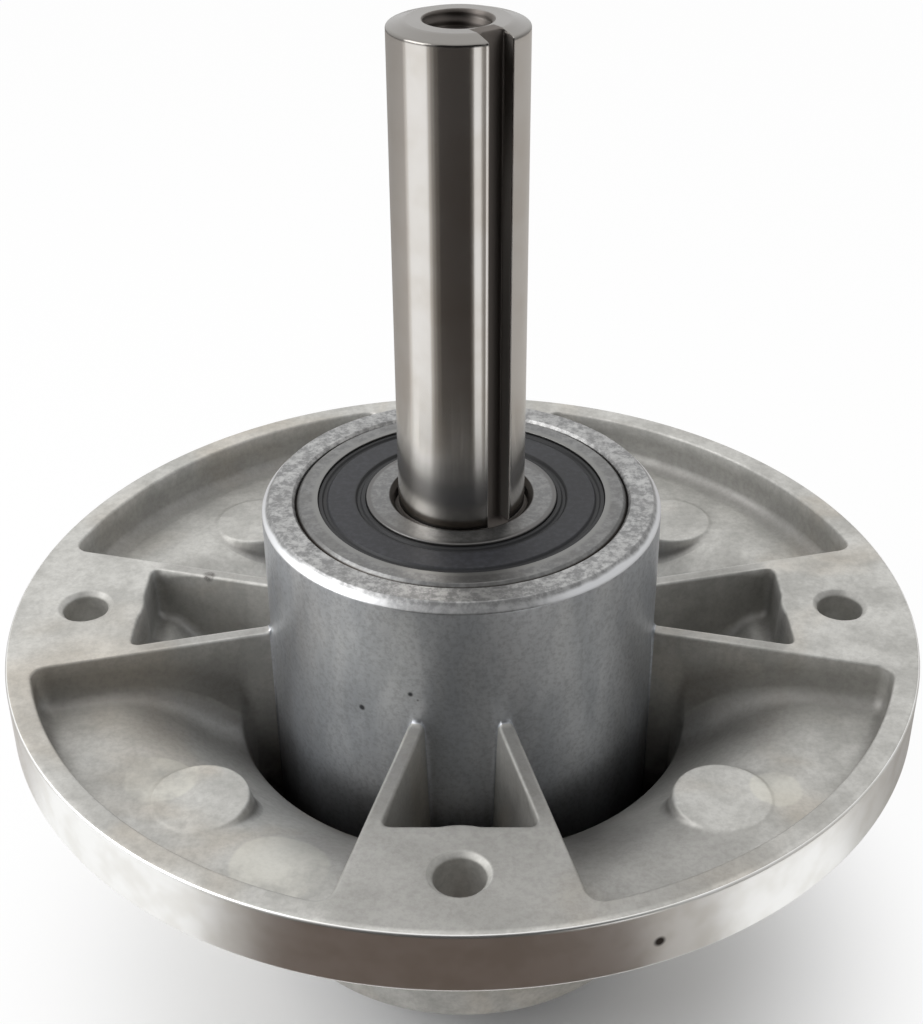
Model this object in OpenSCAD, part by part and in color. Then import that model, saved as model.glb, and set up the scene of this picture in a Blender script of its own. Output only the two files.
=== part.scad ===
// Mower blade spindle: a die-cast flanged housing that carries a keyed steel shaft
// on two sealed ball bearings. The blade bolts up against the collar at the bottom,
// and the drive pulley sits on the keyed end at the top.
// Millimetres, +Z up along the shaft, Z = 0 at the blade seat.

/* [Overall heights] */
// Height of the lower hub face above the blade seat
seat_drop = 14; // [12:1:24]
// Height from the lower hub face up to the mounting face of the flange
lower_hub_h = 69; // [66:1:90]
// Height from the mounting face up to the top of the upper hub
upper_hub_h = 25.5; // [22:0.5:40]
// Length of shaft that stands out of the upper hub
shaft_free = 87.7; // [50:0.1:120]

/* [Flange] */
// Outside diameter of the flange
flange_d = 173.2; // [170:0.2:190]
// Height of the rim at its outer edge
rim_h = 12.2; // [12:0.1:14]
// Width of the flat land on top of the rim
rim_w = 4.5; // [4:0.5:6]
// Diameter of the circle that the bolt holes lie on
bolt_circle_d = 146.6; // [142:0.2:150]
// Diameter of each bolt hole
bolt_hole_d = 8.6; // [6:0.1:10]
// Diameter of the chamfer at the mouth of each bolt hole
bolt_chamfer_d = 10.4; // [8:0.1:12]
// Diameter of the machined seat for a bolt head below each bolt hole
spot_face_d = 18; // [14:0.5:20]
// Half of the angle that a bolt pad and its two ribs take up
pad_half_angle = 14.3; // [13:0.1:18]

/* [Pockets] */
// Depth of the flat part of a pocket floor below the mounting face
floor_depth = 9.2; // [7:0.1:10]
// Thickness of a pocket floor
floor_t = 5; // [4:0.5:6]
// Radius at which a pocket floor starts to fall towards the hub
slope_r = 60; // [56:0.5:66]
// Radius of the lip around the deep gap beside the hub
lip_r = 44.4; // [44:0.2:48]
// Depth of that lip below the mounting face
lip_depth = 23; // [18:0.5:25]
// Depth of the bottom of the deep gap below the mounting face
gap_depth = 44; // [34:1:46]
// Thickness of a rib
rib_t = 2.9; // [2:0.1:5]
// Distance from the axis to the outer end of a narrow pocket
slot_end = 62.4; // [56:0.2:63]
// Length of the flat floor at that end, before it falls towards the hub
slot_flat = 3.5; // [2:0.5:6]
// Depth of that flat floor below the mounting face
slot_depth = 11; // [9:0.5:11.5]
// Radius of the round boss on each pocket floor
boss_r = 8.6; // [6:0.2:10]
// Distance from the axis to the centre of that boss
boss_place_r = 64; // [60:0.1:66]
// Height of that boss above the flat part of the floor
boss_rise = 0.4; // [0:0.1:1]

/* [Hub] */
// Outside diameter of the upper hub
hub_d = 74.2; // [72:0.2:76]
// Chamfer on the edges of both hub faces
hub_chamfer = 1.5; // [0.5:0.1:2]
// Outside diameter of the lower hub at its face
lower_hub_d = 84; // [82:0.5:86]
// Outside diameter of the lower hub where it meets the flange
lower_hub_root_d = 93; // [92:0.5:96]
// Diameter of the shoulder that each bearing seats against
shoulder_d = 54; // [50:0.5:56]
// Diameter of the bore between the two bearings
mid_bore_d = 58; // [56:0.5:60]

/* [Bearings] */
// Outside diameter of a bearing
bearing_od = 62; // [62]
// Bore of a bearing
bearing_id = 25; // [25]
// Width of a bearing
bearing_w = 17; // [17]
// Outside diameter of the inner ring
land_d = 35.5; // [35:0.1:36]
// Inside diameter of the outer ring at its face, where the seal shows
seal_d = 53.4; // [53:0.1:54]
// Diameter of a ball
ball_d = 11.5; // [11.4:0.05:11.6]
// Number of balls in a bearing
ball_count = 7; // [5:1:7]
// Chamfer on the corners of the rings
ring_chamfer = 1; // [0.6:0.1:1.2]

/* [Shaft] */
// Diameter of the keyed length above the upper bearing
shaft_d = 23.4; // [20:0.1:24]
// How far the bearing seat of the shaft ends below the bearing face
seat_recess = 1.8; // [1:0.1:3]
// Width of the shallow bevel on the top end of the shaft
bevel_w = 3.1; // [1:0.1:4]
// Height of that bevel
bevel_h = 0.9; // [0.5:0.1:2]
// Width of the keyway
key_w = 4.8; // [3:0.1:6]
// Depth of the keyway below the shaft surface
key_depth = 3; // [2:0.1:3.5]
// Angle of the keyway about the shaft, from +X
key_angle = -53.5; // [-180:0.5:180]
// Diameter of the tapped hole in the top end
top_tap_d = 10.8; // [8:0.1:11]
// Diameter of the countersink on the top end
top_countersink_d = 12; // [11:0.1:14]
// Depth of the tapped hole in the top end
top_tap_depth = 32; // [20:1:40]
// Diameter of the tapped hole for the blade bolt
blade_tap_d = 13.6; // [10:0.1:14]
// Depth of the tapped hole for the blade bolt
blade_tap_depth = 36; // [25:1:50]
// Diameter of the blade seat collar
collar_d = 44; // [38:1:50]
// Thickness of the blade seat collar
collar_t = 8; // [6:0.5:9]
// Diameter of the neck between the collar and the lower bearing
neck_d = 34.6; // [33:0.1:35]

/* [Spacer] */
// Outside diameter of the spacer tube between the inner rings
spacer_d = 32; // [30:0.5:34]

/* [Hidden] */
$fn = 120;

face_z = seat_drop + lower_hub_h;
hub_top_z = face_z + upper_hub_h;
shaft_top_z = hub_top_z + shaft_free;
lower_bearing_z = seat_drop + bearing_w / 2;
upper_bearing_z = hub_top_z - bearing_w / 2;

flange_r = flange_d / 2;
rim_in_r = flange_r - rim_w;
hub_r = hub_d / 2;
pad_count = 4;
pad_pitch = 360 / pad_count;
pocket_half_angle = pad_pitch / 2 - pad_half_angle;
floor_fall = (lip_depth - floor_depth) / (slope_r - lip_r);
floor_round = 28;
under_round = 20;
slope_t = floor_t * sqrt(1 + pow(floor_fall, 2));
under_z = -floor_depth - floor_t;
under_slope_r = slope_r + (slope_t - floor_t) / floor_fall;
gap_wall_r = lip_r - 3;
hub_foot_r = hub_r + 0.4;

pitch_r = (bearing_od + bearing_id) / 4 + 0.15;
ball_r = ball_d / 2;
race_r = ball_r * 1.04;
race_gap = 0.03;
outer_land_r = 26;
seal_groove_r = 27.3;
plate_in_r = 19.2;
plate_out_r = 25.9;
plate_top = 1.05;
plate_t = 0.4;
cage_wall = 0.7;
cage_gap = 0.1;
cage_half_w = 1.7;
cage_sheet = 0.8;
rivet_r = 0.8;
rivet_head_r = 1.5;
fit_gap = 0.01;
past = 1;

cast_colour = [0.68, 0.67, 0.65];
steel_colour = [0.58, 0.57, 0.56];
ring_colour = [0.55, 0.56, 0.56];
seal_colour = [0.17, 0.17, 0.19];
cage_colour = [0.66, 0.62, 0.55];

// Unit vector along v
function unit(v) = v / norm(v);

// Points of the arc of radius r that rounds the corner b between a and c
function corner(a, b, c, r, n = 6) =
    r == 0 ? [b] :
    let (u = unit(a - b), v = unit(c - b), half = acos(u * v) / 2,
         centre = b + unit(u + v) * r / sin(half),
         start = b + u * r / tan(half) - centre, end = b + v * r / tan(half) - centre,
         a0 = atan2(start.y, start.x),
         turn = (atan2(end.y, end.x) - a0 + 540) % 360 - 180)
    [for (i = [0 : n]) centre + r * [cos(a0 + turn * i / n), sin(a0 + turn * i / n)]];

// Outline whose points [x, y, r] are rounded with radius r
function rounded(p) =
    let (n = len(p), xy = [for (q = p) [q.x, q.y]])
    [for (i = [0 : n - 1]) each corner(xy[(i + n - 1) % n], xy[i], xy[(i + 1) % n], p[i].z)];

// Points of an arc about a centre
function arc(centre, r, a0, a1, n = 6) =
    [for (i = [0 : n]) centre + r * [cos(a0 + (a1 - a0) * i / n), sin(a0 + (a1 - a0) * i / n)]];

// Mirror image of a list of points in the X axis, in reverse order
function mirrored(p) = [for (i = [len(p) - 1 : -1 : 0]) [p[i].x, -p[i].y]];

// Solid turned about Z from points [r, z, rounding]
module turned(points) {
    rotate_extrude() polygon(rounded(points));
}

// Copies of the children at every bolt pad
module at_pads() {
    for (i = [0 : pad_count - 1]) rotate([0, 0, i * pad_pitch]) children();
}

// Copies of the children at the middle of every pocket
module at_pockets() {
    rotate([0, 0, pad_pitch / 2]) at_pads() children();
}

// Outside of the casting, with Z = 0 at the mounting face
module casting_blank() {
    root_r = lower_hub_root_d / 2;
    turned([
        [0, -lower_hub_h, 0],
        [lower_hub_d / 2 - hub_chamfer, -lower_hub_h, 0],
        [lower_hub_d / 2, -lower_hub_h + hub_chamfer, 0],
        [root_r, -lip_depth - slope_t + (root_r - lip_r) * floor_fall, 8],
        [under_slope_r, under_z, under_round],
        [rim_in_r + 1, under_z, 1],
        [rim_in_r + 3, -rim_h, 1],
        [flange_r, -rim_h, 1.6],
        [flange_r, 0, 1],
        [hub_r, 0, 0],
        [hub_r, upper_hub_h - hub_chamfer, 0],
        [hub_r - hub_chamfer, upper_hub_h, 0],
        [0, upper_hub_h, 0]]);
}

// Wedge between two rib walls, with rounded corners at the rim and at the hub
module pocket_plan() {
    rim_round = 3;
    hub_round = 2;
    stop = 8;
    rim_turn = asin(rim_round / (rim_in_r - rim_round));
    hub_turn = asin(hub_round / (hub_r + hub_round));
    a = pocket_half_angle;
    rim_centre = (rim_in_r - rim_round) * [cos(a - rim_turn), sin(a - rim_turn)];
    hub_centre = (hub_r + hub_round) * [cos(a - hub_turn), sin(a - hub_turn)];
    side = concat(
        [(hub_r - 8) * [cos(a - hub_turn), sin(a - hub_turn)]],
        arc(hub_centre, hub_round, a - hub_turn + 180 - stop, a + 90),
        arc(rim_centre, rim_round, a + 90, a - rim_turn + stop),
        [(flange_r + 5) * [cos(a - rim_turn), sin(a - rim_turn)]]);
    polygon(concat(side, mirrored(side)));
}

// Space of the four big pockets, down to the bottom of the deep gap
module pocket_space() {
    difference() {
        intersection() {
            turned([
                [hub_r, past, 0],
                [hub_foot_r, -gap_depth, 1.5],
                [gap_wall_r, -gap_depth, 1.5],
                [lip_r, -lip_depth, 1.5],
                [slope_r, -floor_depth, floor_round],
                [rim_in_r - 0.3, -floor_depth, 2.5],
                [rim_in_r, past, 0]]);
            at_pockets() translate([0, 0, -gap_depth - past])
                linear_extrude(gap_depth + 3 * past) pocket_plan();
        }
        at_pockets() translate([boss_place_r, 0, -gap_depth - past])
            cylinder(r = boss_r, h = gap_depth + past - floor_depth + boss_rise);
    }
}

// Wedge between the two ribs of one pad, with a straight outer end
module slot_plan() {
    end_round = 2;
    a = pad_half_angle;
    inner_x = hub_r - 8;
    x = slot_end - end_round;
    inner_y = inner_x * tan(a) - rib_t / cos(a);
    y = x * tan(a) - (rib_t + end_round) / cos(a);
    side = concat([[inner_x, inner_y]], arc([x, y], end_round, a + 90, 0));
    polygon(concat(side, mirrored(side)));
}

// Space of the four narrow pockets, kept clear of the wall around each bolt hole
module slot_space() {
    difference() {
        intersection() {
            turned([
                [hub_r, past, 0],
                [hub_foot_r, -gap_depth, 1.5],
                [gap_wall_r, -gap_depth, 1.5],
                [lip_r, -lip_depth - 2, 3],
                [slot_end - slot_flat, -slot_depth, 2],
                [slot_end + 5, -slot_depth, 0],
                [slot_end + 5, past, 0]]);
            at_pads() translate([0, 0, -gap_depth - past])
                linear_extrude(gap_depth + 3 * past) slot_plan();
        }
        at_pads() translate([bolt_circle_d / 2, 0, -gap_depth - past])
            cylinder(r1 = 12.4, r2 = 11.4, h = gap_depth + 3 * past);
    }
}

// Bore through the hub, with a seat and a shoulder for each bearing
module bearing_bore() {
    seat_r = bearing_od / 2;
    shoulder_h = 3;
    low = -lower_hub_h;
    high = upper_hub_h;
    turned([
        [0, low - past, 0],
        [seat_r + 0.6, low - past, 0],
        [seat_r + 0.6, low, 0],
        [seat_r, low + 0.6, 0],
        [seat_r, low + bearing_w, 0],
        [shoulder_d / 2, low + bearing_w, 0],
        [shoulder_d / 2, low + bearing_w + shoulder_h, 0],
        [mid_bore_d / 2, low + bearing_w + shoulder_h + 2, 0],
        [mid_bore_d / 2, high - bearing_w - shoulder_h - 2, 0],
        [shoulder_d / 2, high - bearing_w - shoulder_h, 0],
        [shoulder_d / 2, high - bearing_w, 0],
        [seat_r, high - bearing_w, 0],
        [seat_r, high - 0.6, 0],
        [seat_r + 0.6, high, 0],
        [seat_r + 0.6, high + past, 0],
        [0, high + past, 0]]);
}

// Bolt hole with a chamfered mouth, and a flat seat for a bolt head below it
module bolt_hole() {
    chamfer = (bolt_chamfer_d - bolt_hole_d) / 2;
    seat_depth = 8;
    translate([0, 0, under_z + 0.3 - seat_depth]) cylinder(d = spot_face_d, h = seat_depth);
    translate([0, 0, under_z - past]) cylinder(d = bolt_hole_d, h = 2 * past - under_z);
    translate([0, 0, -chamfer])
        cylinder(d1 = bolt_hole_d, d2 = bolt_chamfer_d + 2 * past, h = chamfer + past);
}

module housing() {
    color(cast_colour) translate([0, 0, face_z]) difference() {
        casting_blank();
        pocket_space();
        slot_space();
        bearing_bore();
        at_pads() translate([bolt_circle_d / 2, 0, 0]) bolt_hole();
    }
}

// Blind tapped hole that opens upwards at Z = 0, drilled to a point
module tapped_hole(d, mouth_d, depth) {
    mouth_h = (mouth_d - d) / 2;
    point_h = d / 2 * tan(31);
    turned([
        [0, -depth - point_h, 0],
        [d / 2, -depth, 0],
        [d / 2, -mouth_h, 0],
        [mouth_d / 2 + past, past, 0],
        [0, past, 0]]);
}

module shaft() {
    r = shaft_d / 2;
    seat_r = bearing_id / 2 - fit_gap;
    seat_top = hub_top_z - seat_recess;
    key_bottom = r - key_depth;
    color(steel_colour) difference() {
        turned([
            [0, 0, 0],
            [collar_d / 2 - 1, 0, 0],
            [collar_d / 2, 1, 0],
            [collar_d / 2, collar_t - 1, 0],
            [collar_d / 2 - 1, collar_t, 0],
            [neck_d / 2, collar_t, 1],
            [neck_d / 2, seat_drop, 0.5],
            [seat_r, seat_drop, 0],
            [seat_r, seat_top - 0.8, 0],
            [r, seat_top, 0],
            [r, shaft_top_z - bevel_h, 0.4],
            [r - bevel_w, shaft_top_z, 0],
            [0, shaft_top_z, 0]]);
        rotate([0, 0, key_angle]) translate([key_bottom, -key_w / 2, seat_top])
            cube([r, key_w, shaft_free + seat_recess + past]);
        translate([0, 0, shaft_top_z]) tapped_hole(top_tap_d, top_countersink_d, top_tap_depth);
        rotate([180, 0, 0]) tapped_hole(blade_tap_d, blade_tap_d + 2.6, blade_tap_depth);
    }
}

module bearing_spacer() {
    low = seat_drop + bearing_w;
    high = hub_top_z - bearing_w;
    bore_r = bearing_id / 2 + 0.05;
    color(steel_colour) turned([
        [bore_r, low, 0],
        [spacer_d / 2 - 0.5, low, 0],
        [spacer_d / 2, low + 0.5, 0],
        [spacer_d / 2, high - 0.5, 0],
        [spacer_d / 2 - 0.5, high, 0],
        [bore_r, high, 0]]);
}

// Outer ring about its own centre, with a ball track and a groove for each seal
module outer_ring() {
    h = bearing_w / 2;
    r = bearing_od / 2 - fit_gap;
    c = ring_chamfer;
    lip = seal_d / 2;
    color(ring_colour) rotate_extrude() difference() {
        polygon([
            [lip, -h], [r - c, -h], [r, c - h], [r, h - c], [r - c, h], [lip, h],
            [lip, h - 0.75], [seal_groove_r, h - 0.75], [seal_groove_r, h - 1.6],
            [outer_land_r, h - 1.8], [outer_land_r, 1.8 - h], [seal_groove_r, 1.6 - h],
            [seal_groove_r, 0.75 - h], [lip, 0.75 - h]]);
        translate([pitch_r + ball_r + race_gap - race_r, 0]) circle(r = race_r);
    }
}

// Inner ring about its own centre, with a ball track
module inner_ring() {
    h = bearing_w / 2;
    r = land_d / 2;
    bore_r = bearing_id / 2;
    c = 0.85;
    color(ring_colour) rotate_extrude() difference() {
        polygon([
            [bore_r + c, -h], [r - 0.3, -h], [r, 0.3 - h], [r, h - 0.3], [r - 0.3, h],
            [bore_r + c, h], [bore_r, h - c], [bore_r, c - h]]);
        translate([pitch_r - ball_r - race_gap + race_r, 0]) circle(r = race_r);
    }
}

// Copies of the children at every ball, about the bearing's centre
module at_balls() {
    for (i = [0 : ball_count - 1])
        rotate([0, 0, i * 360 / ball_count]) translate([pitch_r, 0, 0]) children();
}

// Copies of the children halfway between the balls
module between_balls() {
    rotate([0, 0, 180 / ball_count]) at_balls() children();
}

// Ring of balls about the bearing's centre
module balls() {
    color(steel_colour) at_balls() sphere(r = ball_r, $fn = 48);
}

// Upper half of the pressed cage: a flat ring with a dome over every ball
module cage_half() {
    room_r = ball_r + cage_gap;
    dome_r = room_r + cage_wall;
    color(cage_colour) difference() {
        intersection() {
            rotate_extrude() translate([pitch_r - cage_half_w, 0])
                square([2 * cage_half_w, dome_r + past]);
            union() {
                cylinder(r = bearing_od / 2, h = cage_sheet);
                at_balls() sphere(r = dome_r, $fn = 48);
            }
        }
        at_balls() sphere(r = room_r, $fn = 48);
        between_balls() translate([0, 0, -past])
            cylinder(r = rivet_r + fit_gap, h = cage_sheet + 2 * past, $fn = 24);
    }
}

// Rivets that hold the two halves of the cage together
module cage_rivets() {
    head_h = 0.6;
    color(cage_colour) between_balls() rotate_extrude($fn = 24) polygon([
        [0, -cage_sheet - head_h], [rivet_head_r - 0.4, -cage_sheet - head_h],
        [rivet_head_r, -cage_sheet - 0.3], [rivet_head_r, -cage_sheet], [rivet_r, -cage_sheet],
        [rivet_r, cage_sheet], [rivet_head_r, cage_sheet], [rivet_head_r, cage_sheet + 0.3],
        [rivet_head_r - 0.4, cage_sheet + head_h], [0, cage_sheet + head_h]]);
}

// Moulded rubber seal on the upper face of a bearing, about the bearing's centre
module seal() {
    h = bearing_w / 2;
    lip_in = land_d / 2 + 0.08;
    lip_out = seal_d / 2 - 0.08;
    bead = seal_groove_r - 0.06;
    color(seal_colour) rotate_extrude() polygon([
        [lip_in, h - 1.2], [lip_in, h - 0.55], [lip_in + 0.7, h - 0.5], [lip_in + 0.95, h - 0.85],
        [lip_in + 1.5, h - 0.85], [lip_in + 1.8, h - 0.4], [lip_out - 1.6, h - 0.4],
        [lip_out - 1.3, h - 0.8], [lip_out - 0.8, h - 0.8], [lip_out - 0.5, h - 0.45],
        [lip_out, h - 0.45], [lip_out, h - 0.81], [bead, h - 0.81], [bead, h - 1.5],
        [plate_out_r, h - 1.5], [plate_out_r, h - plate_top], [plate_in_r, h - plate_top],
        [plate_in_r, h - 1.5], [lip_in + 0.6, h - 1.5]]);
}

// Steel ring that stiffens a seal, on the side that faces the balls
module seal_plate() {
    h = bearing_w / 2;
    color(ring_colour) rotate_extrude()
        translate([plate_in_r + fit_gap, h - plate_top - plate_t])
            square([plate_out_r - plate_in_r - 2 * fit_gap, plate_t - fit_gap]);
}

// Places a bearing piece at the upper or the lower bearing
module in_upper() { translate([0, 0, upper_bearing_z]) children(); }
module in_lower() { translate([0, 0, lower_bearing_z]) children(); }

// Turns a bearing piece over, about the bearing's centre
module flipped() { rotate([180, 0, 0]) children(); }

module upper_outer_ring() { in_upper() outer_ring(); }
module upper_inner_ring() { in_upper() inner_ring(); }
module upper_balls() { in_upper() balls(); }
module upper_cage_top() { in_upper() cage_half(); }
module upper_cage_bottom() { in_upper() flipped() cage_half(); }
module upper_cage_rivets() { in_upper() cage_rivets(); }
module upper_seal_outside() { in_upper() seal(); }
module upper_seal_inside() { in_upper() flipped() seal(); }
module upper_seal_outside_plate() { in_upper() seal_plate(); }
module upper_seal_inside_plate() { in_upper() flipped() seal_plate(); }

module lower_outer_ring() { in_lower() outer_ring(); }
module lower_inner_ring() { in_lower() inner_ring(); }
module lower_balls() { in_lower() balls(); }
module lower_cage_top() { in_lower() cage_half(); }
module lower_cage_bottom() { in_lower() flipped() cage_half(); }
module lower_cage_rivets() { in_lower() cage_rivets(); }
module lower_seal_outside() { in_lower() flipped() seal(); }
module lower_seal_inside() { in_lower() seal(); }
module lower_seal_outside_plate() { in_lower() flipped() seal_plate(); }
module lower_seal_inside_plate() { in_lower() seal_plate(); }

housing();
shaft();
bearing_spacer();
upper_outer_ring();
upper_inner_ring();
upper_balls();
upper_cage_top();
upper_cage_bottom();
upper_cage_rivets();
upper_seal_outside();
upper_seal_inside();
upper_seal_outside_plate();
upper_seal_inside_plate();
lower_outer_ring();
lower_inner_ring();
lower_balls();
lower_cage_top();
lower_cage_bottom();
lower_cage_rivets();
lower_seal_outside();
lower_seal_inside();
lower_seal_outside_plate();
lower_seal_inside_plate();
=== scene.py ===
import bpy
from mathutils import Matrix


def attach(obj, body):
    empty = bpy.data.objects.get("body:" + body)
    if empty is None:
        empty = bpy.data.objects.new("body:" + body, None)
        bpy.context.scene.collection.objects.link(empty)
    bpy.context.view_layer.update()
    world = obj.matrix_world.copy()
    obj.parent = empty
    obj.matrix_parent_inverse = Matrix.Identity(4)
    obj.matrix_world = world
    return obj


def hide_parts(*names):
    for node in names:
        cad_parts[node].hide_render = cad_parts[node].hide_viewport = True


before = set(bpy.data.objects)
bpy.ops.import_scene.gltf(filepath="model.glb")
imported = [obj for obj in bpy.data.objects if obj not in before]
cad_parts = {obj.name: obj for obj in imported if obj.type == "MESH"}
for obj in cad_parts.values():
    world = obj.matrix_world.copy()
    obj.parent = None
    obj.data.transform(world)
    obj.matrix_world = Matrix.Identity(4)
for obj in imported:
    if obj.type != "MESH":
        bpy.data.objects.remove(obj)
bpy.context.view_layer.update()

import bmesh
import bpy
import numpy as np
from mathutils import Matrix

MM = 0.001
FACE_Z = 83.0
HUB_TOP_Z = 108.5
SHAFT_TOP_Z = 196.2
PAD_HALF = np.radians(14.3)
RIB_T = 2.9
HUB_R = 37.1
RIM_IN_R = 82.1
FLANGE_R = 86.6
BOLT_R = 73.3
MARK_PLACE_R = 64
MARK_R = 8.6
MARK_Z = -8.8
SLOT_END = 62.4
SLOT_CORNER = np.arctan(np.tan(PAD_HALF) - RIB_T / np.cos(PAD_HALF) / SLOT_END)
EDGE = 0.6
DRAFT = np.tan(np.radians(2.0))


# Shapes

def smooth(x):
    """Zero below 0, one above 1, and a curve with level ends between them."""
    x = np.clip(x, 0.0, 1.0)
    return x * x * (3.0 - 2.0 * x)


def rounded_path(corners, steps=5):
    """Points along straight lines from corner to corner (r, z, radius). Each corner with a radius
    is an arc that touches both lines, and a point stands close before and after it, so that the
    flats beside it stay flat to the eye."""
    p = np.array([c[:2] for c in corners], float)
    points = [p[0]]
    for k in range(1, len(p) - 1):
        radius = corners[k][2]
        u, v = p[k - 1] - p[k], p[k + 1] - p[k]
        lu, lv = np.linalg.norm(u), np.linalg.norm(v)
        u, v = u / lu, v / lv
        half = np.arccos(np.clip(u @ v, -1, 1)) / 2
        reach = min(radius / np.tan(half), 0.48 * lu, 0.48 * lv)
        radius = reach * np.tan(half)
        if radius < 1e-4:
            points.append(p[k])
            continue
        centre = p[k] + (u + v) / np.linalg.norm(u + v) * radius / np.sin(half)
        a = p[k] + u * reach - centre
        b = p[k] + v * reach - centre
        turn = np.arctan2(a[0] * b[1] - a[1] * b[0], a @ b)
        t = np.linspace(0, turn, steps + 1)[:, None]
        arc = centre + np.cos(t) * a + np.sin(t) * np.array([-a[1], a[0]])
        guard_u = min(0.25 * radius + 0.1, 0.4 * (lu - reach))
        guard_v = min(0.25 * radius + 0.1, 0.4 * (lv - reach))
        points += [arc[0] + u * guard_u, *arc, arc[-1] + v * guard_v]
    points.append(p[-1])
    return np.array(points)


def grid_quads(rows, cols, close_rows=False, close_cols=True):
    """Four-cornered faces of a grid whose point (i, j) has number i * cols + j."""
    i = np.arange(rows if close_rows else rows - 1)[:, None]
    j = np.arange(cols if close_cols else cols - 1)[None, :]
    i2, j2 = (i + 1) % rows, (j + 1) % cols
    return np.stack([i * cols + j, i * cols + j2, i2 * cols + j2, i2 * cols + j], -1).reshape(-1, 4)


def make_piece(name, points, quads, material, body, replaced, caps=(), shade_and_dirt=None):
    """Mesh object from points in millimetres and four-cornered faces, smooth, with outward faces.
    It stands for the CAD nodes in replaced. The values of painted shade and soiling, if given, become a mesh attribute."""
    used, numbers = np.unique(quads, return_inverse=True)
    order = np.full(len(points), -1)
    order[used] = np.arange(len(used))
    faces = numbers.reshape(quads.shape).tolist() + [[int(order[k]) for k in cap] for cap in caps]
    mesh = bpy.data.meshes.new(name)
    mesh.from_pydata((points[used] * MM).tolist(), [], faces)
    if shade_and_dirt is not None:
        layer = mesh.attributes.new("shade_and_dirt", "FLOAT", "POINT")
        layer.data.foreach_set("value", shade_and_dirt[used].astype(np.float32))
    work = bmesh.new()
    work.from_mesh(mesh)
    bmesh.ops.recalc_face_normals(work, faces=work.faces)
    work.to_mesh(mesh)
    work.free()
    mesh.shade_smooth()
    mesh.materials.append(material)
    piece = bpy.data.objects.new(name, mesh)
    bpy.context.scene.collection.objects.link(piece)
    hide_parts(*replaced)
    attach(piece, body)
    return piece


def turned_points(path, cols):
    """Points of a turned surface: each point (r, z) of the path goes round the axis once."""
    t = np.linspace(0, 2 * np.pi, cols, endpoint=False)
    r, z = path[:, 0][:, None], path[:, 1][:, None]
    return np.stack([r * np.cos(t), r * np.sin(t), z + 0 * t], -1).reshape(-1, 3)


# Housing

POCKET_LINE = rounded_path([
    (HUB_R, 0, 0), (37.5, -44, 1.7), (41.4, -44, 1.7), (44.4, -23, 1.5), (60, -9.2, 28), (90, -9.2, 0)], 12)
SLOT_LINE = rounded_path([
    (HUB_R, 0, 0), (37.5, -44, 1.7), (41.4, -44, 1.7), (44.4, -25, 3), (58.9, -11, 2), (90, -11, 0)], 8)
UNDER_LINE = rounded_path([
    (FLANGE_R, -4, 0), (FLANGE_R, -12.2, 1.6), (85.1, -12.2, 1), (83.1, -14.2, 1), (61.9, -14.2, 20),
    (46.5, -27.8, 8), (42, -67.5, 0.8), (40.5, -69, 0.8), (36, -69, 0)], 4)


def depth_along(line, r):
    """Depth below the mounting face at distance r from the axis."""
    return -np.interp(r, line[:, 0], line[:, 1])


def wall_foot(depth, fillet):
    """How far the foot of a cast wall stands out from its top edge, by its draft."""
    return np.maximum(depth - EDGE - fillet, 0) * DRAFT


def wall_drop(m, depth, fillet):
    """Depth at distance m inside a pocket's outline: level outside it, a small round at the edge,
    a wall with draft, a round foot of radius fillet, and then the pocket's own depth."""
    edge = np.minimum(EDGE, depth / 3 + 1e-6)
    fillet = np.minimum(fillet, depth / 2 + 1e-6)
    foot = wall_foot(depth, fillet)
    over = np.clip(m + edge, 0, edge)
    drop = edge - np.sqrt(np.maximum(edge ** 2 - over ** 2, 0))
    on_wall = np.clip(m / np.maximum(foot, 1e-6), 0, 1)
    drop = np.where(m > 0, edge + (depth - fillet - edge) * on_wall, drop)
    x = np.clip(m - foot, 0, fillet)
    round_foot = depth - fillet + np.sqrt(np.maximum(fillet ** 2 - (fillet - x) ** 2, 0))
    return np.where(m > foot, round_foot, drop)


def round_corner(a, b, radius):
    """Moves a point that stands a and b from two walls onto the outline that is rounded by the
    radius: it keeps its smaller distance, measured from the rounded outline."""
    m = np.minimum(a, b)
    span = np.maximum(radius - m, 1e-6)
    larger = np.maximum(a, b)
    angle = np.pi / 4 * np.clip((radius - larger) / span, 0, 1)
    near, far = radius - span * np.cos(angle), radius - span * np.sin(angle)
    fade = smooth((m + 2.6) / 2.0)
    inside = (a < radius) & (b < radius)
    first = np.where(a <= b, near, far)
    second = np.where(a <= b, far, near)
    return np.where(inside, (first - a) * fade, 0.0), np.where(inside, (second - b) * fade, 0.0)


def slot_end_r(turn):
    """Distance from the axis to the end wall of a narrow pocket: a straight wall, with the round
    wall of the bolt boss standing slightly into it."""
    turn = np.minimum(np.abs(turn), SLOT_CORNER)
    boss = 11.4
    side = BOLT_R * np.sin(turn)
    bulge = BOLT_R * np.cos(turn) - np.sqrt(np.maximum(boss ** 2 - side ** 2, 0.01))
    return np.minimum(SLOT_END / np.cos(turn), bulge)


def wall_distances(r, pad):
    """Distances of a point from the rib wall and the rim wall of its big pocket, and from the rib
    wall and the end wall of its narrow pocket, all of them positive inside the pocket. Both faces
    of a rib are parallel, RIB_T apart."""
    beta = np.abs(pad)
    a_p = r * np.sin(beta - PAD_HALF)
    b_s = (slot_end_r(pad) - r) * np.cos(beta)
    return a_p, RIM_IN_R - r, -a_p - RIB_T, b_s


POCKET_MID, SLOT_MID = 22, 10
FEET = np.array([0.05, 0.18, 0.4, 0.68, 1.0])
EDGE_STEPS = np.array([0.35, 0.7, 1.0, 1.25])


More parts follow.
